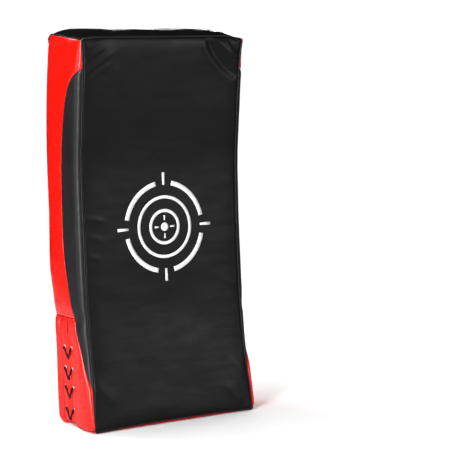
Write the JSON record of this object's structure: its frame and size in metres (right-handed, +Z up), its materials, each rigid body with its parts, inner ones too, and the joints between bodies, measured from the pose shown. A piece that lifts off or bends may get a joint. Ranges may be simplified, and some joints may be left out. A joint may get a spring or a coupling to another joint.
{
  "type": "curved kick shield",
  "caption": "Tall curved kick shield with a flat black strike face, red side gussets laced at the foot, and padded hand grips and a forearm strap behind.",
  "frame": {"origin": "middle of the base of the bounding box, on the surface the shield stands on", "axes": "+Z up along the shield's height, -Y out of the strike face, +Y out of the back with its grips, X across the strike face"},
  "size_m": [0.3598, 0.2242, 0.75],
  "materials": {
    "black_vinyl": "satin",
    "gloss_vinyl": "gloss",
    "red_vinyl": "gloss",
    "inset_vinyl": "satin",
    "back_leather": "satin",
    "grip_leather": "gloss",
    "palm_pad": "matte",
    "foam": "matte",
    "webbing": "matte",
    "hook_and_loop": "matte",
    "cord": "matte",
    "thread_light": "matte",
    "thread_dark": "matte",
    "white_print": "satin",
    "nickel": "polished",
    "black_plastic": "satin"
  },
  "bodies": {
    "root": {"strike_face": "black_vinyl", "back_panel": "black_vinyl", "top_gusset": "gloss_vinyl", "side_gusset_left": "red_vinyl", "crescent_inset_left": "inset_vinyl", "lace_flap_front_left": "red_vinyl", "lace_flap_rear_left": "red_vinyl", "side_gusset_right": "red_vinyl", "crescent_inset_right": "inset_vinyl", "lace_flap_front_right": "red_vinyl", "lace_flap_rear_right": "red_vinyl", "foot_flap_front": "red_vinyl", "foot_flap_rear": "red_vinyl", "piping_front": "black_vinyl", "piping_back": "black_vinyl", "lacing_underlay": "black_vinyl", "lace": "cord", "eyelet_left_front_1": "nickel", "eyelet_left_front_2": "nickel", "eyelet_left_front_3": "nickel", "eyelet_left_front_4": "nickel", "eyelet_left_rear_1": "nickel", "eyelet_left_rear_2": "nickel", "eyelet_left_rear_3": "nickel", "eyelet_left_rear_4": "nickel", "eyelet_right_front_1": "nickel", "eyelet_right_front_2": "nickel", "eyelet_right_front_3": "nickel", "eyelet_right_front_4": "nickel", "eyelet_right_rear_1": "nickel", "eyelet_right_rear_2": "nickel", "eyelet_right_rear_3": "nickel", "eyelet_right_rear_4": "nickel", "foam_strike_layer": "foam", "foam_core": "foam", "foam_back_layer": "foam", "back_pad_foam": "foam", "back_pad_cover": "back_leather", "lower_strap": "webbing", "grip_tab_upper_left": "webbing", "grip_tab_lower_left": "webbing", "arm_strap_anchor_left": "webbing", "grip_tab_upper_right": "webbing", "grip_tab_lower_right": "webbing", "arm_strap_anchor_right": "webbing"},
    "grip_left": {"grip_cover_left": "grip_leather", "grip_foam_left": "foam", "grip_webbing_left": "webbing", "grip_palm_pad_left": "palm_pad"},
    "grip_right": {"grip_cover_right": "grip_leather", "grip_foam_right": "foam", "grip_webbing_right": "webbing", "grip_palm_pad_right": "palm_pad"},
    "arm_strap": {"arm_strap_band": "webbing", "arm_strap_hook_patch": "hook_and_loop", "arm_strap_ring": "black_plastic"},
    "arm_strap_tongue": {"arm_strap_tongue": "webbing", "arm_strap_loop_patch": "hook_and_loop"}
  },
  "joints": [
    {"name": "grip_left_swing", "type": "hinge", "parent": "root", "child": "grip_left", "pos_m": [-0.08, 0.07482, 0.442], "axis": [0, 0, 1], "range_deg": [-40, 40]},
    {"name": "grip_right_swing", "type": "hinge", "parent": "root", "child": "grip_right", "pos_m": [0.08, 0.07482, 0.442], "axis": [0, 0, 1], "range_deg": [-40, 40]},
    {"name": "arm_strap_tilt", "type": "hinge", "parent": "root", "child": "arm_strap", "pos_m": [0, 0.07732, 0.604], "axis": [1, 0, 0], "range_deg": [-60, 18]},
    {"name": "arm_strap_tongue_peel", "type": "hinge", "parent": "arm_strap", "child": "arm_strap_tongue", "pos_m": [-0.096, 0.08957, 0.61428], "axis": [0, -0.6428, 0.766], "range_deg": [0, 95]}
  ]
}
